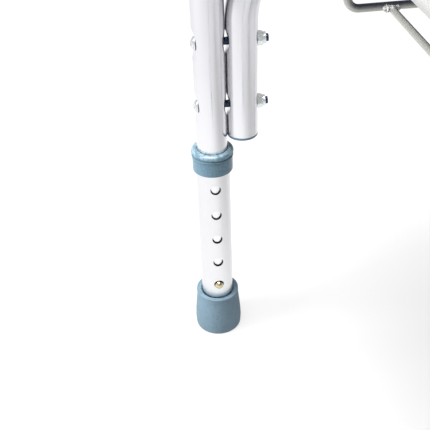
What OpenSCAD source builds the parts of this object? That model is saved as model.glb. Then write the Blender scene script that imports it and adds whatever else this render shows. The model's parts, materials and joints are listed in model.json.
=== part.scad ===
// Height-adjustable shower stool with armrests.
// Two nested pairs of bent aluminium tubes carry a moulded seat board, a wire pail rack
// hangs under it, and each leg slides in a sleeve that a snap button locks.
// Frame: origin on the floor under the middle of the seat, +Z up, the front faces -Y.

/* [Frame] */
// Distance between the planes of the left and right side frames
frame_width = 460; // [420:5:520]
// Distance between the front and rear leg axes
frame_depth = 430; // [400:5:480]
// Outer diameter of the frame tubes
tube_d = 25.4; // [22:0.2:28]
// Wall of the frame tubes
tube_wall = 1.5; // [1.2:0.1:2]
// Height of the armrest tube's centre line
arm_height = 600; // [560:5:660]
// Bend radius of the armrest tube
arm_bend = 80; // [60:5:110]
// Height of the seat rail's centre line
rail_height = 379; // [370:1:400]
// Bend radius of the seat rail
rail_bend = 75; // [60:1:90]
// Height of the seat rail's open lower ends
rail_foot = 209.6; // [200:0.2:216]
// Height of the lower frame bolt
bolt_low = 236; // [230:1:245]
// Distance between the two bolts of a leg
bolt_pitch = 53; // [48:1:60]
// Depth of the pressed dimple under a bolt head
head_dimple = 2.8; // [1:0.1:3]
// Depth of the other dimples at the bolts
dimple = 2; // [1:0.1:3]
// Depth of the long press on the nut side of the seat rail
rail_press = 1.4; // [0.5:0.1:2]

/* [Legs] */
// Outer diameter of the leg sleeve
sleeve_d = 28.6; // [28.4:0.1:30]
// Wall of the leg sleeve
sleeve_wall = 1.2; // [1:0.05:1.2]
// Height of the sleeve's upper end
sleeve_top = 192; // [188:1:196]
// Height of the lowest adjusting hole
first_hole = 57.8; // [55:0.2:64]
// Distance between adjusting holes
hole_pitch = 26.2; // [24:0.1:27]
// Number of adjusting holes
hole_count = 5; // [3:1:5]
// Diameter of the adjusting holes
hole_d = 9; // [8.8:0.1:10]
// Height of the foot tip
foot_height = 42; // [36:1:46]
// Largest diameter of the foot tip
foot_d = 43.4; // [38:0.2:46]

/* [Seat] */
// Width of the seat board
seat_width = 500; // [490:5:540]
// Depth of the seat board
seat_depth = 303; // [290:1:320]
// Thickness of the seat board
seat_thick = 26; // [22:1:32]
// Corner radius of the seat board
seat_corner = 60; // [40:5:80]
// Edge rounding of the seat board
seat_edge = 9; // [6:1:10]
// Wall of the hollow seat board
seat_wall = 3; // [2:0.5:4]
// Diameter of the drain holes
drain_d = 9; // [6:1:12]

/* [Rack] */
// Diameter of the rack wire
wire_d = 6; // [5:0.5:6]
// Diameter of the cross rods
rod_d = 5; // [4:0.5:6]
// Height of the rack wire's centre line
rack_height = 319; // [300:0.5:330]
// Distance between the two rack hangers
rack_width = 394; // [380:2:400]
// Distance between the upright ends of a hanger
rack_depth = 239; // [230:1:250]
// Distance between the cross rods
cross_rod_gap = 174.5; // [150:0.5:190]

/* [Hidden] */
$fn = 64;

eps = 0.5;                                  // overrun of a cutter past the face it opens
side_x = frame_width / 2;                   // plane of a side frame
leg_y = frame_depth / 2;                    // leg axis
tube_r = tube_d / 2;
bore_r = tube_r - tube_wall;
rail_y = leg_y - tube_d - 0.1;              // axis of the seat rail's legs, which touch the side tube
bolt_heights = [bolt_low, bolt_low + bolt_pitch];
bolt_r = 3;
bolt_clear = 0.2;                           // radial clearance of fixed fasteners
head_dimple_half = 13;                      // half the length of a dimple along the tube
dimple_half = 9.3;
rail_press_half = 45;
function press_r(depth, half) = (half * half + depth * depth) / (2 * depth);
head_dimple_r = press_r(head_dimple, head_dimple_half);
dimple_r = press_r(dimple, dimple_half);
rail_press_r = press_r(rail_press, rail_press_half);
head_r = 5.25;
head_h = 3.2;
nut_flats = 10;
nut_corner_r = nut_flats / 2 / cos(30);
// Axis of a tube to the seat of a head or nut, which bears on the two edges it meets in the hollow
function seat_reach(depth, r) = tube_r - depth + r - sqrt(r * r - pow(nut_corner_r, 2)) + 0.02;
head_reach = seat_reach(head_dimple, head_dimple_r);
nut_reach = seat_reach(dimple, dimple_r);
nut_h = 4.8;
nut_collar_h = 2;
bolt_tail = 2.2;                            // bolt standing out of its nut

sleeve_r = sleeve_d / 2;
sleeve_bore_r = sleeve_r - sleeve_wall;
side_tube_foot = first_hole - 25;           // lower end of the side tube inside the sleeve
button_r = 3.8;
button_drop = 0.5;                          // the button hangs this far below the middle of its hole
button_seat = 9.1;                          // leg axis to the button's inner face
button_tip = sleeve_r + 3.2;                // leg axis to the top of the dome
leaf_thick = 0.8;
leaf_width = 8;
leaf_face = button_seat - 0.3;              // leg axis to the face of the leaf under the button
leaf_reach = 9;                             // leaf beyond the button's axis
leaf_apex = 30;                             // button's axis to the fold of the leaf spring
leaf_fold_r = 3.5;

collar_z = 177.6;
collar_top = 197;
collar_lip = 5.3;
collar_lip_round = 2.6;
collar_r = 16.9;
collar_lip_r = 17.7;
collar_ledge_r = 17.5;
collar_groove = 0.6;
foot_floor = 4.5;                           // rubber under the washer
washer_h = 1.5;
sleeve_foot = foot_floor + washer_h + 0.1;
foot_r = foot_d / 2;
foot_top_r = 18.9;

seat_z = rail_height + tube_r + 0.3;        // underside of the seat board
screw_r = 3;
insert_r = 4.5;
insert_h = 14;
cross_r = 11.1;
cross_wall = 1.5;
cross_y = 75;
cross_z = rail_height + tube_r - cross_r;
plug_len = 26;
rail_screw_y = 100;
cross_screw_x = 110;
drain_pitch_x = 52;
drain_pitch_y = 44;
recess_rim = 26;                            // flat rim round the recess in the seat
recess_corner = 40;
recess_depth = 2.5;

pad_width = 48;
pad_length = 236;
pad_corner = 18;
pad_edge = 6;
pad_top = tube_r + 10;                      // tube's centre line to the pad's top
pad_skirt = 4;                              // tube's centre line up to the pad's underside
pad_screw_y = 80;

wire_r = wire_d / 2;
rod_r = rod_d / 2;
rod_drop = 1.2;                             // a cross rod meets the hanger this far below its middle
wire_bend = 9;
hanger_x = rack_width / 2;
hanger_y = rack_depth / 2;
wire_out = side_x + tube_r + 7;             // where a hanger's hook ends outside the rail
clip_h = 4;

// ---------- shared shapes ----------

// The nested tubes' centre line as a solid bar: up, round a bend, across, and down again
module arch_bar(r, span, low, high, bend) {
    for (s = [-1, 1]) scale([1, s, 1]) {
        translate([0, span, low])
            cylinder(r = r, h = high - bend - low);
        translate([0, span - bend, high - bend])
            rotate([90, 0, 90])
                rotate_extrude(angle = 90)
                    translate([bend, 0])
                        circle(r = r);
    }
    translate([0, -(span - bend), high])
        rotate([-90, 0, 0])
            cylinder(r = r, h = 2 * (span - bend));
}

// Cylinder across an upright tube on the +Y side of its axis, pressed in by `depth`
module press_cutter(depth, r, extra) {
    translate([0, tube_r - depth + r, 0])
        rotate([0, 90, 0])
            cylinder(r = r + extra, h = 3 * tube_r, center = true);
}

// Dimples of the side tube: deep ones under the bolt heads, shallow ones towards the seat rail
module side_tube_dimples(extra) {
    for (s = [-1, 1], z = bolt_heights)
        scale([1, s, 1])
            translate([0, leg_y, z]) {
                press_cutter(head_dimple, head_dimple_r, extra);
                scale([1, -1, 1])
                    press_cutter(dimple, dimple_r, extra);
            }
}

// Dimples of the seat rail on both sides, and its long press on the nut side
module seat_rail_dimples(extra) {
    for (s = [-1, 1])
        scale([1, s, 1]) {
            for (side = [-1, 1], z = bolt_heights)
                translate([0, rail_y, z])
                    scale([1, side, 1])
                        press_cutter(dimple, dimple_r, extra);
            translate([0, rail_y, bolt_low + bolt_pitch / 2])
                scale([1, -1, 1])
                    intersection() {
                        press_cutter(rail_press, rail_press_r, extra);
                        translate([0, tube_r, 0])
                            cube([4 * tube_r, 10, 2 * rail_press_half], center = true);
                    }
        }
}

// Bent tube whose pressed dimples, its children 0 outside and 1 inside, keep the wall's thickness
module arch_tube(span, low, high, bend) {
    difference() {
        arch_bar(tube_r, span, low, high, bend);
        children(0);
        difference() {
            arch_bar(bore_r, span, low - eps, high, bend);
            children(1);
        }
    }
}

// Bolt holes along Y through an arch's legs
module frame_bolt_holes() {
    for (z = bolt_heights)
        translate([0, 0, z])
            rotate([90, 0, 0])
                cylinder(r = bolt_r + bolt_clear, h = frame_depth + 4 * tube_d, center = true);
}

// Half section of a round post whose flat side stands up to `rim` and whose dome ends at `h`
module dome_section(r, rim, h) {
    rise = h - rim;
    dome_r = (r * r + rise * rise) / (2 * rise);
    square([r, rim]);
    intersection() {
        translate([0, h - dome_r])
            circle(r = dome_r);
        translate([0, rim])
            square([r, rise]);
    }
}

// Domed head with a cross recess, seated on z = 0 and standing up
module pan_head(r, h) {
    difference() {
        rotate_extrude()
            dome_section(r, 0.9, h);
        for (a = [0, 90])
            rotate([0, 0, a])
                translate([-r * 0.5, -0.6, h - 1.6])
                    cube([r, 1.2, 2]);
    }
}

// Screw with its head on z = 0 and its shank going down
module pan_screw(r, length, head, height) {
    pan_head(head, height);
    translate([0, 0, -length])
        cylinder(r = r, h = length);
}

// Board with round corners and round edges, standing on z = 0
module round_slab(w, d, t, corner, edge) {
    dx = w / 2 - corner;
    dy = d / 2 - corner;
    module rim() {
        square([corner - edge, t]);
        translate([0, edge])
            square([corner, t - 2 * edge]);
        for (z = [edge, t - edge])
            translate([corner - edge, z])
                circle(r = edge);
    }
    module half_rim() {
        intersection() {
            rim();
            square([corner, t]);
        }
    }
    translate([-dx, -dy, 0])
        cube([2 * dx, 2 * dy, t]);
    for (q = [[1, 1, 0], [-1, 1, 90], [-1, -1, 180], [1, -1, 270]])
        translate([q[0] * dx, q[1] * dy, 0])
            rotate([0, 0, q[2]])
                rotate_extrude(angle = 90)
                    half_rim();
    for (q = [[0, dy, 2 * dx, 90], [-dx, 0, 2 * dy, 180], [0, -dy, 2 * dx, 270], [dx, 0, 2 * dy, 0]])
        translate([q[0], q[1], 0])
            rotate([0, 0, q[3]])
                rotate([90, 0, 0])
                    translate([0, 0, -q[2] / 2])
                        linear_extrude(height = q[2])
                            half_rim();
}

// ---------- side frames ----------

module side_tube(side) {
    color("#d3d3d6")
        translate([side * side_x, 0, 0])
            difference() {
                arch_tube(leg_y, side_tube_foot, arm_height, arm_bend) {
                    side_tube_dimples(0);
                    side_tube_dimples(tube_wall);
                }
                frame_bolt_holes();
                for (s = [-1, 1])
                    translate([0, s * leg_y, first_hole])
                        rotate([0, -side * 90, 0])
                            cylinder(r = hole_d / 2, h = 2 * tube_r);
                for (s = [-1, 1])
                    translate([0, s * pad_screw_y, arm_height])
                        cylinder(r = 2.5 + bolt_clear, h = 2 * tube_d, center = true);
            }
}

module seat_rail(side) {
    color("#cfcfd4")
        translate([side * side_x, 0, 0])
            difference() {
                arch_tube(rail_y, rail_foot, rail_height, rail_bend) {
                    seat_rail_dimples(0);
                    seat_rail_dimples(tube_wall);
                }
                frame_bolt_holes();
                for (s = [-1, 1])
                    translate([0, s * rail_screw_y, rail_height])
                        cylinder(r = screw_r + bolt_clear, h = 2 * tube_d, center = true);
                for (y = [-hanger_y, hanger_y])
                    translate([0, y, rail_height])
                        rotate([0, 90, 0])
                            cylinder(r = wire_r + bolt_clear, h = 2 * tube_d, center = true);
                for (y = [-cross_y, cross_y])
                    translate([0, y, cross_z])
                        rotate([0, 90, 0])
                            cylinder(r = bolt_r + bolt_clear, h = 2 * tube_d, center = true);
            }
}

module rail_end_cap(side, end) {
    flange = 2.5;
    color("#6d8797")
        translate([side * side_x, end * rail_y, rail_foot]) {
            rotate_extrude() {
                translate([0, -flange + 1])
                    square([tube_r, flange - 1]);
                translate([0, -flange])
                    square([tube_r - 1, flange]);
                translate([tube_r - 1, -flange + 1])
                    circle(r = 1);
            }
            difference() {
                union() {
                    cylinder(r = bore_r - 0.5, h = 14);
                    for (z = [3, 6.5, 10])
                        translate([0, 0, z])
                            cylinder(r = bore_r - 0.05, h = 1.2);
                }
                translate([0, 0, 1])
                    cylinder(r = bore_r - 2.2, h = 14);
            }
        }
}

// ---------- adjustable legs ----------

module leg_sleeve(side, end) {
    color("#dcdcdf")
        translate([side * side_x, end * leg_y, 0])
            difference() {
                translate([0, 0, sleeve_foot])
                    cylinder(r = sleeve_r, h = sleeve_top - sleeve_foot);
                translate([0, 0, sleeve_foot - eps])
                    cylinder(r = sleeve_bore_r, h = sleeve_top - sleeve_foot + 2 * eps);
                for (i = [0 : hole_count - 1])
                    translate([0, 0, first_hole + i * hole_pitch])
                        rotate([0, -side * 90, 0])
                            cylinder(r = hole_d / 2, h = 2 * sleeve_r);
            }
}

module leg_collar(side, end) {
    round = collar_lip_round;
    lip_z = collar_top - collar_lip;
    ledge_z = lip_z - 1;
    color("#5b7f95")
        translate([side * side_x, end * leg_y, 0])
            difference() {
                rotate_extrude() {
                    translate([0, collar_z])
                        square([collar_r, ledge_z - collar_groove - collar_z]);
                    translate([0, collar_z])
                        square([collar_r - collar_groove, collar_top - round - collar_z]);
                    polygon([
                        [0, ledge_z], [collar_ledge_r, ledge_z], [collar_ledge_r, ledge_z + 0.4],
                        [collar_r - 0.2, lip_z + 0.3], [0, lip_z + 0.3]
                    ]);
                    translate([0, lip_z + round])
                        square([collar_lip_r, collar_lip - 2 * round]);
                    translate([0, lip_z])
                        square([collar_lip_r - round, collar_lip]);
                    for (z = [lip_z + round, collar_top - round])
                        translate([collar_lip_r - round, z])
                            circle(r = round);
                }
                translate([0, 0, collar_z - eps])
                    cylinder(r = sleeve_r + 0.05, h = sleeve_top + 0.1 - collar_z + eps);
                cylinder(r = tube_r + 0.35, h = collar_top + eps);
            }
}

module foot_tip(side, end) {
    foot_round = 1.8;
    rim_round = 1.2;
    base_r = foot_r - 0.4;
    wall_high = foot_height - rim_round;
    color("#5f8393")
        translate([side * side_x, end * leg_y, 0])
            difference() {
                rotate_extrude() {
                    polygon([
                        [0, foot_round], [base_r, foot_round], [foot_r, foot_height * 0.2],
                        [foot_r - 0.3, foot_height * 0.38], [foot_r - 1, foot_height * 0.58],
                        [foot_r - 1.85, foot_height * 0.78], [foot_top_r, wall_high], [0, wall_high]
                    ]);
                    square([base_r - foot_round, foot_height]);
                    translate([base_r - foot_round, foot_round])
                        circle(r = foot_round);
                    square([foot_top_r - rim_round, foot_height]);
                    translate([foot_top_r - rim_round, wall_high])
                        circle(r = rim_round);
                }
                translate([0, 0, foot_floor])
                    cylinder(r = sleeve_r + 0.05, h = foot_height);
                translate([0, 0, foot_height - 4])
                    cylinder(r = sleeve_r + 0.8, h = 4 + eps);
                translate([0, 0, foot_height - 0.6])
                    cylinder(r1 = sleeve_r + 0.8, r2 = sleeve_r + 1.5, h = 0.7);
                for (groove = [7, 12.5])
                    difference() {
                        translate([0, 0, -eps])
                            cylinder(r = groove + 1.2, h = 1.5 + eps);
                        translate([0, 0, -2 * eps])
                            cylinder(r = groove - 1.2, h = 3);
                    }
            }
}

module foot_washer(side, end) {
    color("#b9bcc0")
        translate([side * side_x, end * leg_y, foot_floor + 0.02])
            difference() {
                cylinder(r = sleeve_r - 0.1, h = washer_h);
                translate([0, 0, -eps])
                    cylinder(r = 4, h = washer_h + 2 * eps);
            }
}

// Brass button that stands out through the tube and the sleeve, towards the middle of the stool
module snap_button(side, end) {
    length = button_tip - button_seat;
    dome = 2.6;
    color("#b08d3e")
        translate([side * side_x, end * leg_y, first_hole - button_drop])
            rotate([0, -side * 90, 0])
                translate([0, 0, button_seat])
                    rotate_extrude() {
                        square([button_r + 1, 0.9]);
                        dome_section(button_r, length - dome, length);
                    }
}

// Leaf spring folded into a V inside the tube, with its open ends at the button
module snap_spring(side, end) {
    color("#9a9da1")
        translate([side * side_x, end * leg_y, first_hole - button_drop])
            rotate([90, 0, -90 * (1 + side)])
                translate([0, 0, -leaf_width / 2])
                    linear_extrude(height = leaf_width)
                        leaf_outline();
}

// The spring's side view: +X points at the button, +Y up
module leaf_outline() {
    difference() {
        polygon([
            [leaf_face, -leaf_reach], [leaf_face, leaf_reach],
            [leaf_fold_r, leaf_apex], [-leaf_fold_r, leaf_apex],
            [-leaf_face, leaf_reach], [-leaf_face, -leaf_reach]
        ]);
        polygon([
            [leaf_face - leaf_thick, -leaf_reach - eps], [leaf_face - leaf_thick, leaf_reach],
            [leaf_fold_r - leaf_thick, leaf_apex + eps], [leaf_thick - leaf_fold_r, leaf_apex + eps],
            [leaf_thick - leaf_face, leaf_reach], [leaf_thick - leaf_face, -leaf_reach - eps]
        ]);
    }
    difference() {
        translate([0, leaf_apex])
            circle(r = leaf_fold_r);
        translate([0, leaf_apex])
            circle(r = leaf_fold_r - leaf_thick);
        translate([-2 * leaf_fold_r, leaf_apex - 3 * leaf_fold_r])
            square([4 * leaf_fold_r, 3 * leaf_fold_r]);
    }
}

// ---------- fasteners of the side frames ----------

// Puts its children at each frame bolt: z = 0 on the bolt head's seat, +Z out through the head
module at_frame_bolts() {
    for (side = [-1, 1], end = [-1, 1], z = bolt_heights)
        translate([side * side_x, end * (leg_y + head_reach), z])
            rotate([-end * 90, 0, 0])
                children();
}

grip = leg_y - rail_y + head_reach + nut_reach;   // head seat to nut seat

module frame_bolts() {
    color("#c9ccd0")
        at_frame_bolts()
            pan_screw(bolt_r, grip + nut_h + nut_collar_h + bolt_tail, head_r, head_h);
}

module frame_nuts() {
    color("#c4c8cc")
        at_frame_bolts()
            translate([0, 0, -grip - nut_h - nut_collar_h])
                difference() {
                    union() {
                        cylinder(r = nut_flats / 2 - 0.4, h = nut_collar_h + 1);
                        translate([0, 0, nut_collar_h])
                            intersection() {
                                cylinder(r = nut_corner_r, h = nut_h, $fn = 6);
                                cylinder(r1 = nut_flats / 2, r2 = nut_corner_r + 4, h = nut_h + 3);
                            }
                    }
                    translate([0, 0, -eps])
                        cylinder(r = bolt_r + 0.03, h = nut_h + nut_collar_h + 2 * eps);
                    translate([0, 0, -eps])
                        cylinder(r = 4.1, h = nut_collar_h + eps);
                }
}

module nut_rings() {
    color("#3f4d57")
        at_frame_bolts()
            translate([0, 0, -grip - nut_h - nut_collar_h])
                difference() {
                    cylinder(r = 4.05, h = nut_collar_h - 0.05);
                    translate([0, 0, -eps])
                        cylinder(r = bolt_r + 0.03, h = nut_collar_h + 2 * eps);
                }
}

// ---------- cross tubes under the seat ----------

// Removes what would run into the two seat rails
module cope_to_rails() {
    difference() {
        children();
        for (side = [-1, 1])
            translate([side * side_x, 0, rail_height])
                rotate([90, 0, 0])
                    cylinder(r = tube_r + 0.05, h = 3 * cross_y, center = true);
    }
}

module cross_tube(end) {
    color("#cfcfd4")
        cope_to_rails()
            translate([0, end * cross_y, cross_z])
                difference() {
                    rotate([0, 90, 0])
                        cylinder(r = cross_r, h = frame_width - tube_d + 8, center = true);
                    rotate([0, 90, 0])
                        cylinder(r = cross_r - cross_wall, h = frame_width, center = true);
                    for (side = [-1, 1])
                        translate([side * cross_screw_x, 0, 0])
                            cylinder(r = screw_r + bolt_clear, h = 3 * cross_r, center = true);
                }
}

module cross_tube_plugs() {
    start = side_x - tube_r + 4;
    color("#3a3d40")
        cope_to_rails()
            for (side = [-1, 1], end = [-1, 1])
                translate([side * start, end * cross_y, cross_z])
                    rotate([0, -side * 90, 0])
                        difference() {
                            cylinder(r = cross_r - cross_wall - 0.05, h = plug_len);
                            cylinder(r = bolt_r + 0.03, h = plug_len + eps);
                        }
}

module cross_tube_bolts() {
    head_seat = side_x + tube_r + 0.05;
    color("#c9ccd0")
        for (side = [-1, 1], end = [-1, 1])
            translate([side * head_seat, end * cross_y, cross_z])
                rotate([0, side * 90, 0])
                    pan_screw(bolt_r, tube_d + 20, head_r, head_h);
}

// ---------- seat ----------

seat_screw_places = [
    for (side = [-1, 1], end = [-1, 1])
        each [
            [side * side_x, end * rail_screw_y, rail_height - tube_r],
            [side * cross_screw_x, end * cross_y, cross_z - cross_r]
        ]
];

// Drain holes in rows that are staggered from one column to the next
drain_places = [
    for (i = [-4 : 4], j = [-2 : 2])
        let (y = j * drain_pitch_y + (i % 2 == 0 ? 0 : drain_pitch_y / 2))
            if (abs(y) < 100) [i * drain_pitch_x, y]
];

// Sealed hollow of the board, crossed by a column round each drain hole and each insert
module seat_hollow() {
    difference() {
        translate([0, 0, seat_z + seat_wall])
            round_slab(
                seat_width - 2 * seat_wall, seat_depth - 2 * seat_wall,
                seat_thick - recess_depth - 2 * seat_wall, seat_corner - seat_wall, seat_edge - 1
            );
        for (p = drain_places)
            translate([p[0], p[1], seat_z])
                cylinder(r = drain_d / 2 + 6, h = seat_thick);
        for (p = seat_screw_places)
            translate([p[0], p[1], seat_z])
                cylinder(r = insert_r + 3, h = seat_thick);
    }
}

// Board with a shallow recess for the sitter; its drain holes open out above and, wider, below
module seat_board() {
    color("#e9e9e6")
        difference() {
            translate([0, 0, seat_z])
                round_slab(seat_width, seat_depth, seat_thick, seat_corner, seat_edge);
            translate([0, 0, seat_z + seat_thick - recess_depth])
                round_slab(seat_width - 2 * recess_rim, seat_depth - 2 * recess_rim, 20, recess_corner, 6);
            seat_hollow();
            for (p = drain_places)
                translate([p[0], p[1], seat_z]) {
                    translate([0, 0, -eps])
                        cylinder(r = drain_d / 2, h = seat_thick + 2 * eps);
                    translate([0, 0, seat_thick - recess_depth - 2])
                        cylinder(r1 = drain_d / 2, r2 = drain_d / 2 + 4, h = 4);
                    translate([0, 0, -0.01])
                        cylinder(r1 = drain_d / 2 + 3.5, r2 = drain_d / 2, h = 12);
                }
            for (p = seat_screw_places)
                translate([p[0], p[1], seat_z - eps])
                    cylinder(r = insert_r + 0.05, h = insert_h + 0.2 + eps);
        }
}

module seat_inserts() {
    color("#b79a55")
        for (p = seat_screw_places)
            translate([p[0], p[1], seat_z])
                difference() {
                    cylinder(r = insert_r, h = insert_h);
                    translate([0, 0, -eps])
                        cylinder(r = screw_r + 0.03, h = insert_h - 1 + eps);
                }
}

module seat_screws() {
    color("#c9ccd0")
        for (p = seat_screw_places)
            translate([p[0], p[1], p[2] - 0.05])
                rotate([180, 0, 0])
                    pan_screw(screw_r, seat_z + insert_h - 2 - p[2], head_r, head_h);
}

// ---------- armrests ----------

module arm_pad(side) {
    color("#7d8f9b")
        translate([side * side_x, 0, arm_height])
            difference() {
                translate([0, 0, pad_skirt])
                    round_slab(pad_width, pad_length, pad_top - pad_skirt, pad_corner, pad_edge);
                rotate([90, 0, 0])
                    cylinder(r = tube_r + 0.05, h = pad_length + 2 * eps, center = true);
                for (s = [-1, 1])
                    translate([0, s * pad_screw_y, 0])
                        cylinder(r = 2.55, h = tube_r + 6.2);
            }
}

module arm_pad_screws() {
    color("#c9ccd0")
        for (side = [-1, 1], s = [-1, 1])
            translate([side * side_x, s * pad_screw_y, arm_height - tube_r - 0.05])
                rotate([180, 0, 0])
                    pan_screw(2.5, tube_d + 6, 4.6, 2.8);
}

// ---------- wire rack ----------

// U-shaped wire whose two upper ends turn outwards and hook through the seat rail
module rack_hanger(side) {
    upright = hanger_y;
    color("#b8bbb6")
        for (s = [-1, 1]) scale([1, s, 1]) {
            translate([side * hanger_x, 0, rack_height])
                rotate([-90, 0, 0])
                    cylinder(r = wire_r, h = upright - wire_bend);
            translate([side * hanger_x, upright - wire_bend, rack_height + wire_bend])
                rotate([90, 0, 90])
                    rotate([0, 0, -90])
                        rotate_extrude(angle = 90)
                            translate([wire_bend, 0])
                                circle(r = wire_r);
            translate([side * hanger_x, upright, rack_height + wire_bend])
                cylinder(r = wire_r, h = rail_height - rack_height - 2 * wire_bend);
            translate([side * (hanger_x + wire_bend), upright, rail_height - wire_bend])
                scale([side, 1, 1])
                    rotate([90, 0, 0])
                        rotate([0, 0, 90])
                            rotate_extrude(angle = 90)
                                translate([wire_bend, 0])
                                    circle(r = wire_r);
            translate([side * (hanger_x + wire_bend), upright, rail_height])
                rotate([0, side * 90, 0])
                    cylinder(r = wire_r, h = wire_out - hanger_x - wire_bend);
        }
}

module rack_cross_rod(end) {
    color("#b8bbb6")
        difference() {
            translate([0, end * cross_rod_gap / 2, rack_height - rod_drop])
                rotate([0, 90, 0])
                    cylinder(r = rod_r, h = rack_width, center = true);
            for (side = [-1, 1])
                translate([side * hanger_x, 0, rack_height])
                    rotate([90, 0, 0])
                        cylinder(r = wire_r + 0.02, h = rack_depth, center = true);
        }
}

module rack_push_nuts() {
    color("#8d9196")
        for (side = [-1, 1], s = [-1, 1])
            translate([side * (side_x + tube_r + 0.3), s * hanger_y, rail_height])
                rotate([0, side * 90, 0])
                    difference() {
                        union() {
                            cylinder(r = 7, h = 0.8);
                            cylinder(r = 5.2, h = clip_h);
                        }
                        translate([0, 0, -eps])
                            cylinder(r = wire_r + 0.02, h = clip_h + 2 * eps);
                    }
}

side_tube(-1);  // side_tube_left
side_tube(1);  // side_tube_right
seat_rail(-1);  // seat_rail_left
seat_rail(1);  // seat_rail_right
rail_end_cap(-1, -1);  // rail_end_cap_front_left
rail_end_cap(1, -1);  // rail_end_cap_front_right
rail_end_cap(-1, 1);  // rail_end_cap_rear_left
rail_end_cap(1, 1);  // rail_end_cap_rear_right
leg_sleeve(-1, -1);  // leg_sleeve_front_left
leg_sleeve(1, -1);  // leg_sleeve_front_right
leg_sleeve(-1, 1);  // leg_sleeve_rear_left
leg_sleeve(1, 1);  // leg_sleeve_rear_right
leg_collar(-1, -1);  // leg_collar_front_left
leg_collar(1, -1);  // leg_collar_front_right
leg_collar(-1, 1);  // leg_collar_rear_left
leg_collar(1, 1);  // leg_collar_rear_right
foot_tip(-1, -1);  // foot_tip_front_left
foot_tip(1, -1);  // foot_tip_front_right
foot_tip(-1, 1);  // foot_tip_rear_left
foot_tip(1, 1);  // foot_tip_rear_right
foot_washer(-1, -1);  // foot_washer_front_left
foot_washer(1, -1);  // foot_washer_front_right
foot_washer(-1, 1);  // foot_washer_rear_left
foot_washer(1, 1);  // foot_washer_rear_right
snap_button(-1, -1);  // snap_button_front_left
snap_button(1, -1);  // snap_button_front_right
snap_button(-1, 1);  // snap_button_rear_left
snap_button(1, 1);  // snap_button_rear_right
snap_spring(-1, -1);  // snap_spring_front_left
snap_spring(1, -1);  // snap_spring_front_right
snap_spring(-1, 1);  // snap_spring_rear_left
snap_spring(1, 1);  // snap_spring_rear_right
frame_bolts();
frame_nuts();
nut_rings();
cross_tube(-1);  // cross_tube_front
cross_tube(1);  // cross_tube_rear
cross_tube_plugs();
cross_tube_bolts();
seat_board();
seat_screws();
seat_inserts();
arm_pad(-1);  // arm_pad_left
arm_pad(1);  // arm_pad_right
arm_pad_screws();
rack_hanger(-1);  // rack_hanger_left
rack_hanger(1);  // rack_hanger_right
rack_cross_rod(-1);  // rack_cross_rod_front
rack_cross_rod(1);  // rack_cross_rod_rear
rack_push_nuts();
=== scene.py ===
"""Looks of the height-adjustable shower stool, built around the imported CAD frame. Metres, +Z up, front faces -Y."""
import json
import math

import bmesh
import bpy
from mathutils import Matrix, Vector


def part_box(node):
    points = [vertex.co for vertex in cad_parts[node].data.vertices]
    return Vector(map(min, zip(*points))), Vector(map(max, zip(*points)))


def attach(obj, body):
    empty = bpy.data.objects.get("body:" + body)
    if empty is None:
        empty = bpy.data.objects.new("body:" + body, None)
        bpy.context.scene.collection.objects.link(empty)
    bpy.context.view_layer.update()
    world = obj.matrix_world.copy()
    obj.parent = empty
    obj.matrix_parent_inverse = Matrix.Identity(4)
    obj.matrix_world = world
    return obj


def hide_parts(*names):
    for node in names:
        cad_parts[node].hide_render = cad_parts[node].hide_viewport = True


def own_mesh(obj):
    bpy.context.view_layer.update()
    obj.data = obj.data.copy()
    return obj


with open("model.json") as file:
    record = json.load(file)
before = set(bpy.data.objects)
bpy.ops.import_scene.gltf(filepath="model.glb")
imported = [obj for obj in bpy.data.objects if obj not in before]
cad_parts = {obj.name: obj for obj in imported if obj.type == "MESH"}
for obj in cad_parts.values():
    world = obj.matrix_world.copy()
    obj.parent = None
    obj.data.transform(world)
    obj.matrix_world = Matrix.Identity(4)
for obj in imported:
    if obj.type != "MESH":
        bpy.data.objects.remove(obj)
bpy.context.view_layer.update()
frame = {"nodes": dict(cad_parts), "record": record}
NODES = frame["nodes"]
SKY = {"soft": (0.04, 0.006), "mirrored": (1.0, 0.40)}    # strength from the front side to the rear
SIDES = {"left": -1, "right": 1}
ENDS = {"front": -1, "rear": 1}
CORNERS = [f"{e}_{s}" for e in ENDS for s in SIDES]

# Places on the CAD model, in metres
LEG_X, LEG_Y = 0.230, 0.215             # leg axes, left and right, front and rear
HOLE_EDGE = (0.01405, 0.01422)          # radii just inside a sleeve's outer face, where a hole's painted shade ends
PAINTED_LIGHT_HEIGHTS = (0.15, 0.30)                # heights between which the side tube's painted light fades out
COLLAR_LIP = (0.1925, 0.1962)           # heights between which the collar's lip carries painted highlights
THREAD_END = 0.2252                     # the bolts' threads are nearer to the middle than this, along Y
RECESS_DEPTH = 0.0025                   # of the seat board
PIP_MARGIN = 0.036                      # from the seat's edge to the edge of the pips' field
PIP_CORNER = 0.03                       # corner radius of that field
PIP_CLEAR = 0.0112                      # least distance from a drain hole's middle to a pip's
DRAIN_PITCH = (0.052, 0.044)            # along X, and along Y within one row


# ---------- camera ----------

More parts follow.
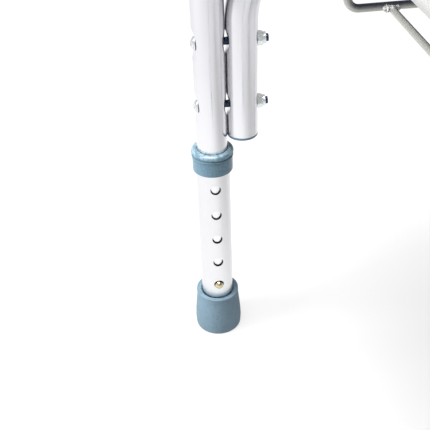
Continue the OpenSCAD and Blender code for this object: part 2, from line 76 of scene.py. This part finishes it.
def make_camera():
    """The camera looks down at the front left leg from over the front right one, leaning a little."""
    sleeve_lo, sleeve_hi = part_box("leg_sleeve_front_left")
    leg_x = (sleeve_lo[0] + sleeve_hi[0]) / 2
    leg_y = (sleeve_lo[1] + sleeve_hi[1]) / 2
    offset = Vector((0.5249, -0.0609, 0.5162))
    heading = math.radians(6.64)            # towards the rear from straight across
    pitch = math.radians(36.37)
    roll = math.radians(2.19)
    lens, sensor = 62.2, 36.0
    ahead = Vector((-math.cos(heading) * math.cos(pitch), math.sin(heading) * math.cos(pitch), -math.sin(pitch)))
    level = ahead.cross(Vector((0, 0, 1))).normalized()
    down = ahead.cross(level)
    right = level * math.cos(roll) + down * math.sin(roll)
    up = right.cross(ahead)
    camera = bpy.data.objects.new("camera", bpy.data.cameras.new("camera"))
    camera.data.lens = lens
    camera.data.sensor_width = sensor
    camera.data.clip_start = 0.01
    turn = Matrix((right, up, -ahead)).transposed().to_4x4()
    camera.matrix_world = Matrix.Translation(Vector((leg_x, leg_y, 0)) + offset) @ turn
    bpy.context.scene.collection.objects.link(camera)
    bpy.context.scene.camera = camera


# ---------- node materials ----------

class Look:
    """A Principled material with helpers for noise-driven colour, roughness and bump."""

    def __init__(self, name, color, rough, metallic=0.0, **extra):
        self.mat = bpy.data.materials.new(name)
        self.mat.use_nodes = True
        self.tree = self.mat.node_tree
        self.shader = self.tree.nodes["Principled BSDF"]
        self.color = (*color, 1)
        self.shader.inputs["Base Color"].default_value = self.color
        self.shader.inputs["Roughness"].default_value = rough
        self.shader.inputs["Metallic"].default_value = metallic
        for socket, value in extra.items():
            self.shader.inputs[socket.replace("_", " ")].default_value = value
        self.coords = self.add("ShaderNodeTexCoord").outputs["Object"]
        self.normal = None

    def add(self, kind, **settings):
        node = self.tree.nodes.new(kind)
        for key, value in settings.items():
            setattr(node, key, value)
        return node

    def link(self, a, b):
        self.tree.links.new(a, b)

    def stretched(self, scale):
        """Object coordinates scaled per axis, so that a texture can run along one of them."""
        mapping = self.add("ShaderNodeMapping")
        mapping.inputs["Scale"].default_value = scale
        self.link(self.coords, mapping.inputs["Vector"])
        return mapping.outputs["Vector"]

    def split(self, vector=None):
        """The X, Y and Z of a vector, by default of the object coordinates, as separate outputs."""
        node = self.add("ShaderNodeSeparateXYZ")
        self.link(vector or self.coords, node.inputs["Vector"])
        return node.outputs

    def math(self, operation, *values):
        """A Math node on values that are sockets or numbers."""
        node = self.add("ShaderNodeMath", operation=operation)
        for socket, value in zip(node.inputs, values):
            if isinstance(value, bpy.types.NodeSocket):
                self.link(value, socket)
            else:
                socket.default_value = value
        return node.outputs[0]

    def noise(self, scale, detail=4.0, rough=0.55, coords=None):
        node = self.add("ShaderNodeTexNoise")
        node.inputs["Scale"].default_value = scale
        node.inputs["Detail"].default_value = detail
        node.inputs["Roughness"].default_value = rough
        self.link(coords or self.coords, node.inputs["Vector"])
        return node.outputs["Fac"]

    def ramp(self, value, low, high, from_low=0.3, from_high=0.7):
        node = self.add("ShaderNodeMapRange")
        node.inputs["From Min"].default_value = from_low
        node.inputs["From Max"].default_value = from_high
        node.inputs["To Min"].default_value = low
        node.inputs["To Max"].default_value = high
        self.link(value, node.inputs["Value"])
        return node.outputs["Result"]

    def tint(self, value, other):
        """Mixes the base colour towards another where value is high."""
        node = self.add("ShaderNodeMix", data_type="RGBA")
        last = self.shader.inputs["Base Color"]
        if last.is_linked:
            self.link(last.links[0].from_socket, node.inputs[6])
        else:
            node.inputs[6].default_value = self.color
        node.inputs[7].default_value = (*other, 1)
        self.link(value, node.inputs[0])
        self.link(node.outputs[2], last)

    def roughen(self, value, low, high, from_low=0.3, from_high=0.7):
        self.link(self.ramp(value, low, high, from_low, from_high), self.shader.inputs["Roughness"])

    def bump(self, height, strength, distance):
        node = self.add("ShaderNodeBump")
        node.inputs["Strength"].default_value = strength
        node.inputs["Distance"].default_value = distance
        self.link(height, node.inputs["Height"])
        if self.normal:
            self.link(self.normal, node.inputs["Normal"])
        self.normal = node.outputs["Normal"]
        self.link(self.normal, self.shader.inputs["Normal"])


def anodised(name, color, rough):
    """Satin anodised tube: fine drawing streaks along Z, cloudy sheen and a few dull rubs."""
    look = Look(name, color, rough, metallic=1.0)
    streaks = look.noise(1.0, 3.0, 0.6, look.stretched((420.0, 420.0, 6.0)))
    clouds = look.noise(22.0, 5.0, 0.6)
    rubs_and_painted_highlights = look.noise(7.0, 6.0, 0.7)
    look.roughen(clouds, rough - 0.05, rough + 0.07)
    look.tint(look.ramp(rubs_and_painted_highlights, 0.0, 0.35, 0.55, 0.75), [c * 0.9 for c in color])
    look.bump(streaks, 0.12, 0.0004)
    look.bump(look.noise(900.0, 2.0), 0.05, 0.0002)
    return look


def frame_tube_look():
    """Anodised tube, painted paler low down as painted light: brighter near the floor, darker up under the seat."""
    look = anodised("anodised_tube_look", (0.69, 0.69, 0.715), 0.20)
    # painted light: the tube's colour is lightened towards the bottom
    look.tint(look.ramp(look.split()["Z"], 1.0, 0.0, *PAINTED_LIGHT_HEIGHTS), (0.84, 0.84, 0.85))
    return look.mat


def sleeve_look():
    """Paler tube whose holes' walls are painted dark, as painted shade in the holes."""
    look = anodised("sleeve_tube_look", (0.78, 0.78, 0.79), 0.32)
    place = look.split()
    offsets = look.add("ShaderNodeCombineXYZ")
    for axis, leg_axis in (("X", LEG_X), ("Y", LEG_Y)):
        look.link(look.math("SUBTRACT", look.math("ABSOLUTE", place[axis]), leg_axis), offsets.inputs[axis])
    radius = look.add("ShaderNodeVectorMath", operation="LENGTH")
    look.link(offsets.outputs[0], radius.inputs[0])
    # painted shade: the walls of the holes are painted near black
    look.tint(look.ramp(radius.outputs["Value"], 1.0, 0.0, *HOLE_EDGE), (0.035, 0.036, 0.04))
    return look.mat


def moulded(name, color, rough, grain=0.10, grain_scale=1400.0, wear=0.25, lighter=1.18, orange_peel=0.0):
    """Moulded plastic: fine grain, soft mottling and slightly scuffed patches."""
    look = Look(name, color, rough)
    look.shader.inputs["Specular IOR Level"].default_value = 0.45
    mottle = look.noise(60.0, 5.0, 0.6)
    scuffs = look.noise(24.0, 8.0, 0.7)
    look.tint(look.ramp(mottle, 0.0, 0.5), [c * 0.88 for c in color])
    look.tint(look.ramp(scuffs, 0.0, wear, 0.52, 0.72), [min(1, c * lighter + 0.01) for c in color])
    look.roughen(scuffs, rough - 0.06, rough + 0.10)
    look.bump(look.noise(grain_scale, 2.0), grain, 0.0003)
    look.bump(look.noise(110.0, 3.0), grain * 0.8, 0.0008)
    if orange_peel:
        look.bump(look.noise(520.0, 3.0, 0.6), orange_peel, 0.0008)
    return look.mat


def rubber(name, color):
    """Matt rubber with a chalky bloom that gathers in patches."""
    look = Look(name, color, 0.62)
    look.shader.inputs["Specular IOR Level"].default_value = 0.35
    bloom = look.noise(38.0, 6.0, 0.68)
    look.tint(look.ramp(bloom, 0.0, 0.6, 0.42, 0.7), [c * 1.2 + 0.02 for c in color])
    specks = look.noise(240.0, 5.0, 0.7)
    look.tint(look.ramp(specks, 0.0, 0.5, 0.52, 0.68), [c * 0.7 for c in color])
    look.roughen(bloom, 0.55, 0.75)
    look.bump(look.noise(700.0, 3.0), 0.18, 0.0004)
    look.bump(look.noise(90.0, 3.0), 0.12, 0.0010)
    return look.mat


def plated(name, color, rough, dull=0.12):
    """Bright plating: a mirror that breaks up into faint cloudy and brushed patches."""
    look = Look(name, color, rough, metallic=1.0)
    clouds = look.noise(260.0, 4.0, 0.6)
    look.roughen(clouds, rough, rough + dull)
    look.tint(look.ramp(look.noise(90.0, 5.0), 0.0, 0.5), [c * 0.72 for c in color])
    look.bump(look.noise(1500.0, 2.0), 0.10, 0.0002)
    return look.mat


def wire(name, painted_shade_axis, low, high):
    """Satin plated wire; the side that faces along one axis is painted dark as painted shade and painted reflection.
    """
    look = Look(name, (0.44, 0.44, 0.405), 0.42, metallic=0.4)
    painted_shade_facing = look.split(look.add("ShaderNodeNewGeometry").outputs["Normal"])[painted_shade_axis]
    clouds = look.noise(120.0, 5.0)
    look.tint(look.ramp(clouds, 0.0, 0.35), (0.35, 0.355, 0.33))
    # painted shade and reflection: the side facing along the axis is tinted dark
    look.tint(look.ramp(painted_shade_facing, 0.0, 1.0, low, high), (0.040, 0.048, 0.075))
    look.roughen(clouds, 0.36, 0.50)
    look.bump(look.noise(800.0, 2.0), 0.04, 0.0001)
    return look.mat


LOOKS = {
    "anodised_tube": frame_tube_look(),
    "sleeve_tube": sleeve_look(),
    "blue_grey_plastic": moulded("blue_grey_plastic_look", (0.098, 0.193, 0.262), 0.26, orange_peel=0.35),
    "foot_rubber": rubber("foot_rubber_look", (0.130, 0.200, 0.252)),
    "brass": plated("brass_look", (0.66, 0.57, 0.36), 0.10, dull=0.05),
    "spring_steel": plated("spring_steel_look", (0.50, 0.51, 0.53), 0.25),
    "zinc_steel": plated("zinc_steel_look", (0.74, 0.77, 0.78), 0.16),
    "nylon_ring": moulded("nylon_ring_look", (0.035, 0.055, 0.08), 0.35),
    "black_plastic": moulded("black_plastic_look", (0.02, 0.02, 0.022), 0.5),
    "seat_plastic": moulded("seat_plastic_look", (0.40, 0.40, 0.39), 0.42, grain=0.25, grain_scale=620.0,
                            wear=0.1, lighter=1.05),
    "arm_pad_plastic": moulded("arm_pad_plastic_look", (0.080, 0.126, 0.162), 0.55, grain=0.30, grain_scale=900.0),
    # hangers: the upward-facing side is painted dark as a painted reflection of the seat's underside
    "wire_steel": wire("wire_steel_look", "Z", -0.3, 0.75),
}


def collar_look():
    """Glossy, unevenly moulded collar whose lip carries pale patches of painted highlight."""
    look = Look("collar_look", (0.108, 0.200, 0.262), 0.24)
    look.tint(look.ramp(look.noise(70.0, 5.0, 0.6), 0.0, 0.45), (0.078, 0.158, 0.220))
    lip = look.ramp(look.split()["Z"], 0.0, 1.0, *COLLAR_LIP)
    rubs_and_painted_highlights = look.ramp(look.noise(300.0, 6.0, 0.65), 0.0, 0.85, 0.40, 0.62)
    # painted highlight: pale patches on the lip
    look.tint(look.math("MULTIPLY", lip, rubs_and_painted_highlights), (0.31, 0.37, 0.40))
    look.roughen(rubs_and_painted_highlights, 0.22, 0.36, 0.0, 1.0)
    look.bump(look.noise(330.0, 3.0, 0.6), 0.45, 0.0005)
    look.bump(look.noise(1400.0, 2.0), 0.10, 0.0003)
    return look.mat


def bolt_look():
    """Bright zinc heads; the threaded rest of each bolt is painted dark as painted shade, with its thread as ridges.
    """
    look = Look("frame_bolt_look", (0.74, 0.77, 0.78), 0.18, metallic=1.0)
    thread_shade = look.math("LESS_THAN", look.math("ABSOLUTE", look.split()["Y"]), THREAD_END)
    # painted shade on the threaded part of each bolt
    look.tint(thread_shade, (0.045, 0.065, 0.115))
    ridges = look.add("ShaderNodeTexWave", bands_direction="Y")
    ridges.inputs["Scale"].default_value = 314.0
    look.link(look.coords, ridges.inputs["Vector"])
    look.bump(ridges.outputs["Fac"], 0.6, 0.0004)
    look.roughen(look.noise(260.0, 4.0, 0.6), 0.16, 0.34)
    return look.mat


def dress_nodes():
    """Gives every CAD node the look of its record slot, and a few of them one of their own."""
    for part in frame["record"]["subparts"]:
        node = NODES[part["node"]]
        for i in range(max(1, len(node.material_slots))):
            if not node.material_slots:
                node.data.materials.append(None)
            node.material_slots[i].material = LOOKS[part["material_slot"]]
    # rods: the side facing the rear is painted dark as painted shade
    rods = wire("wire_rod_look", "Y", 0.0, 0.30)
    nuts = plated("frame_nut_look", (0.82, 0.86, 0.87), 0.28)
    special = {"frame_bolts": bolt_look(), "frame_nuts": nuts}
    special.update({f"rack_cross_rod_{end}": rods for end in ENDS})
    collars = collar_look()
    special.update({f"leg_collar_{corner}": collars for corner in CORNERS})
    for node, look in special.items():
        for slot in NODES[node].material_slots:
            slot.material = look


# ---------- added detail ----------

def link_piece(name, mesh, look):
    """Puts a mesh on the frame body, with the look it takes its finish from."""
    piece = bpy.data.objects.new(name, mesh)
    bpy.context.scene.collection.objects.link(piece)
    piece.data.materials.clear()
    piece.data.materials.append(look)
    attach(piece, "frame")
    return piece


def lump(bm, centre, radii, seed):
    """A blob of weld metal: a ball squeezed to radii, with ripples that differ from blob to blob."""
    made = bmesh.ops.create_icosphere(bm, subdivisions=4, radius=1.0)
    for vert in made["verts"]:
        x, y, z = vert.co
        ripple = 0.14 * math.sin(5.1 * x + seed) * math.sin(4.3 * z + 1.7 * seed)
        ripple += 0.09 * math.sin(9.0 * y + 2.0 * seed)
        ripple += 0.04 * math.sin(17.0 * x + 13.0 * z + seed)
        vert.co = Vector(centre) + Vector([c * r * (1 + ripple) for c, r in zip(vert.co, radii)])


def weld_rack():
    """The weld at each end of both cross rods: a bead in the front corner, one in the rear corner and one on top."""
    weld = Look("weld_look", (0.70, 0.70, 0.67), 0.24, metallic=0.35)
    weld.tint(weld.ramp(weld.noise(700.0, 4.0), 0.0, 0.9, 0.5, 0.62), (0.10, 0.11, 0.12))
    weld.bump(weld.noise(900.0, 3.0), 0.3, 0.0004)
    beads = (                           # distance from the middle plane, offset from the rod's axis, and radii
        ((0.1933, -0.0036, 0.0008), (0.0035, 0.0031, 0.0025)),
        ((0.1937, 0.0036, 0.0006), (0.0029, 0.0026, 0.0022)),
        ((0.1917, -0.0006, 0.0016), (0.0028, 0.0024, 0.0017)),
    )
    for e, end in ENDS.items():
        rod_lo, rod_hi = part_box(f"rack_cross_rod_{e}")
        rod_y, rod_z = (rod_lo[1] + rod_hi[1]) / 2, (rod_lo[2] + rod_hi[2]) / 2
        for s, side in SIDES.items():
            for k, ((x, y, z), radii) in enumerate(beads):
                bm = bmesh.new()
                lump(bm, (side * x, rod_y + y, rod_z + z), radii, 1.3 * k + 0.7 * side + end)
                for face in bm.faces:
                    face.smooth = True
                mesh = bpy.data.meshes.new(f"rack_weld_{e}_{s}_{k + 1}")
                bm.to_mesh(mesh)
                bm.free()
                link_piece(mesh.name, mesh, weld.mat)


def dome(x, y, z, radius, height, first):
    """Vertices and faces of a low closed dome on a floor at z; first is the number of its first vertex."""
    sides = 12
    rings = ((1.0, -0.15), (1.0, 0.10), (0.82, 0.62), (0.45, 0.92))    # shares of the radius and height
    verts, faces = [], [[first + k for k in reversed(range(sides))]]
    for share, rise in rings:
        for k in range(sides):
            turn = 2 * math.pi * k / sides
            reach = radius * share
            verts.append((x + reach * math.cos(turn), y + reach * math.sin(turn), z + rise * height))
    verts.append((x, y, z + height))
    for ring in range(len(rings)):
        low = first + ring * sides
        for k in range(sides):
            a, b = low + k, low + (k + 1) % sides
            faces.append((a, b, b + sides, a + sides) if ring < len(rings) - 1 else (a, b, low + sides))
    return verts, faces


def grip_pips():
    """Low domes that roughen the seat's recess, left out round the drain holes."""
    seat_lo, seat_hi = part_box("seat_board")
    floor_z = seat_hi[2] - RECESS_DEPTH
    half = [(seat_hi[k] - seat_lo[k]) / 2 - PIP_MARGIN for k in (0, 1)]
    pitch, row_share, radius, height = 0.0104, 0.87, 0.0019, 0.0011
    across, along = DRAIN_PITCH
    drains = [(i * across, (j + 0.5 * (i % 2)) * along) for i in range(-5, 6) for j in range(-4, 4)]
    verts, faces = [], []
    for i in range(-24, 25):
        for j in range(-14, 15):
            x, y = (i + 0.5 * (j % 2)) * pitch, j * pitch * row_share
            corner = [max(0, abs(v) - h + PIP_CORNER) for v, h in zip((x, y), half)]
            near_drain = any(math.hypot(x - a, y - b) < PIP_CLEAR for a, b in drains)
            if math.hypot(*corner) <= PIP_CORNER and not near_drain:
                more_verts, more_faces = dome(x, y, floor_z, radius, height, len(verts))
                verts += more_verts
                faces += more_faces
    mesh = bpy.data.meshes.new("seat_grip_pips")
    mesh.from_pydata(verts, [], faces)
    mesh.shade_smooth()
    link_piece("seat_grip_pips", mesh, LOOKS["seat_plastic"])


def flexing_springs():
    """The leaf springs, as copies of their CAD nodes put on the frame body in their place."""
    for corner in CORNERS:
        node = f"snap_spring_{corner}"
        spring = link_piece(f"leaf_spring_{corner}", NODES[node].data.copy(), LOOKS["spring_steel"])
        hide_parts(node)
        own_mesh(spring)


# ---------- floor and light ----------

def make_sky():
    """A pale backdrop, and a sky that is stronger at the front than at the rear, and stronger still in mirrors."""
    world = bpy.data.worlds.new("studio")
    world.use_nodes = True
    tree = world.node_tree
    sky = tree.nodes["Background"]
    sky.inputs["Color"].default_value = (1, 1, 1, 1)
    output = tree.nodes["World Output"]
    split = tree.nodes.new("ShaderNodeSeparateXYZ")
    tree.links.new(tree.nodes.new("ShaderNodeTexCoord").outputs["Generated"], split.inputs["Vector"])
    ray = tree.nodes.new("ShaderNodeLightPath")
    choose = tree.nodes.new("ShaderNodeMix")
    tree.links.new(ray.outputs["Is Glossy Ray"], choose.inputs["Factor"])
    for socket, (front, rear) in zip((choose.inputs["A"], choose.inputs["B"]), SKY.values()):
        fade = tree.nodes.new("ShaderNodeMapRange")
        for name, value in (("From Min", -0.9), ("From Max", 0.6), ("To Min", front), ("To Max", rear)):
            fade.inputs[name].default_value = value
        tree.links.new(split.outputs["Y"], fade.inputs["Value"])
        tree.links.new(fade.outputs["Result"], socket)
    tree.links.new(choose.outputs["Result"], sky.inputs["Strength"])
    backdrop = tree.nodes.new("ShaderNodeBackground")
    backdrop.inputs["Color"].default_value = (0.93, 0.935, 0.94, 1)
    mix = tree.nodes.new("ShaderNodeMixShader")
    tree.links.new(ray.outputs["Is Camera Ray"], mix.inputs["Fac"])
    tree.links.new(sky.outputs["Background"], mix.inputs[1])
    tree.links.new(backdrop.outputs["Background"], mix.inputs[2])
    tree.links.new(mix.outputs["Shader"], output.inputs["Surface"])
    bpy.context.scene.world = world


def make_floor():
    """A pale floor that glows, except in a painted soft shadow: an oval under the seat, towards the rear."""
    reach = 6.0
    corners = [(-reach, -reach, 0), (reach, -reach, 0), (reach, reach, 0), (-reach, reach, 0)]
    mesh = bpy.data.meshes.new("floor")
    mesh.from_pydata(corners, [], [(0, 1, 2, 3)])
    floor = bpy.data.objects.new("floor", mesh)
    bpy.context.scene.collection.objects.link(floor)
    paper = Look("floor_look", (0.21, 0.21, 0.215), 0.75, Emission_Color=(1, 1, 1, 1))
    paper.bump(paper.noise(160.0, 3.0), 0.02, 0.001)
    middle_y, half_x, half_y = 0.22, 0.44, 0.31     # of the painted shadow's oval
    place = paper.add("ShaderNodeMapping")
    place.inputs["Location"].default_value = (0, -middle_y / half_y, 0)
    place.inputs["Scale"].default_value = (1 / half_x, 1 / half_y, 1)
    paper.link(paper.coords, place.inputs["Vector"])
    far = paper.add("ShaderNodeVectorMath", operation="LENGTH")
    paper.link(place.outputs["Vector"], far.inputs[0])
    glow_with_painted_shadow = paper.ramp(far.outputs["Value"], 0.52, 0.70, 0.2, 1.15)
    paper.link(glow_with_painted_shadow, paper.shader.inputs["Emission Strength"])
    mesh.materials.append(paper.mat)


def soft_light(name, place, target, power):
    data = bpy.data.lights.new(name, "AREA")
    data.shape = "DISK"
    data.size = 1.2
    data.energy = power
    light = bpy.data.objects.new(name, data)
    light.location = place
    light.rotation_euler = (Vector(target) - Vector(place)).to_track_quat("-Z", "Y").to_euler()
    bpy.context.scene.collection.objects.link(light)
    return light


def make_studio():
    make_floor()
    make_sky()
    key = soft_light("key", (0.05, -2.4, 1.25), (-0.2, -0.2, 0.1), 85)
    key.visible_glossy = False              # the bare metal mirrors the sky instead
    soft_light("top", (-0.05, -0.5, 2.2), (-0.2, -0.15, 0.1), 80)


make_camera()
dress_nodes()
weld_rack()
grip_pips()
flexing_springs()
make_studio()
bpy.context.scene.view_settings.view_transform = "Standard"
